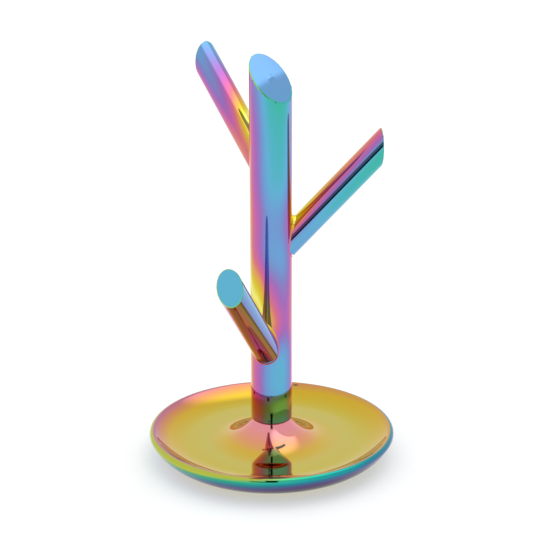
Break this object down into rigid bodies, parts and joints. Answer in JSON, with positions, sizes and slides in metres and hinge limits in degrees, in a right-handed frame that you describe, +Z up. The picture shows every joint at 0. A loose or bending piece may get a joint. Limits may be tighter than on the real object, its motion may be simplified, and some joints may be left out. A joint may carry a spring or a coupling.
{
  "type": "ring tree",
  "caption": "Jewellery stand: a shallow round dish with a central hub, an upright round trunk with a slanted top, and leaning round branches that hold finger rings.",
  "frame": {"origin": "centre of the underside, on the table, below the trunk's axis", "axes": "+Z up along the trunk, +X the way the middle branch leans; the upper branch leans at 120 degrees about +Z and the lower branch at 240 degrees"},
  "size_m": [0.066, 0.066, 0.1096],
  "materials": {
    "dish": "polished with an iridescent coating, mostly gold",
    "trunk": "polished with an iridescent coating, teal to pink",
    "branch": "polished with an iridescent coating, blue to violet",
    "braze": "polished with an iridescent coating",
    "screw": "zinc plated",
    "washer": "zinc plated",
    "foot_pad": "matt"
  },
  "bodies": {
    "root": {"dish": "dish", "trunk": "trunk", "upper_branch": "branch", "middle_branch": "branch", "lower_branch": "branch", "upper_braze": "braze", "middle_braze": "braze", "lower_braze": "braze", "fixing_screw": "screw", "washer": "washer", "foot_pad": "foot_pad"}
  },
  "joints": []
}
